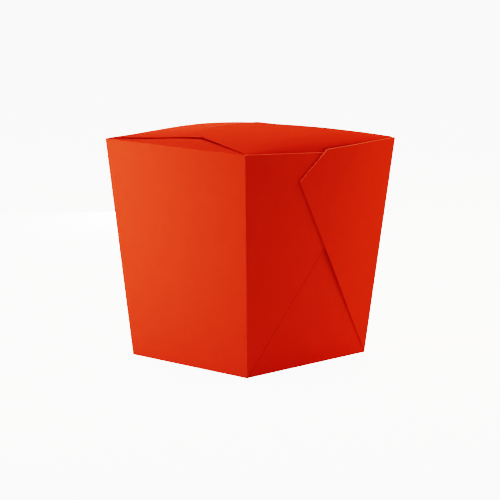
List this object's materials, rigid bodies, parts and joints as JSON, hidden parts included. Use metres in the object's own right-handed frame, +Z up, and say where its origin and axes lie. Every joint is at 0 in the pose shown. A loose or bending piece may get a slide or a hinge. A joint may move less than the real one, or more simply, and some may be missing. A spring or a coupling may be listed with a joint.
{
  "type": "noodle takeaway box",
  "caption": "Shut paperboard noodle takeaway box: a tall pail that flares upwards, with lapped folded ears on its side walls and a bowed tuck-in lid.",
  "frame": {"origin": "centre of the base, on the surface that the box stands on", "axes": "+Z up, the box's tallest way; +X square out of a gusset wall, across the narrower side; +Y square out of a plain wall"},
  "size_m": [0.0894, 0.1028, 0.1073],
  "materials": {
    "coated_board": "satin coated, tomato red all through"
  },
  "bodies": {
    "root": {"carton": "coated_board"}
  },
  "joints": []
}
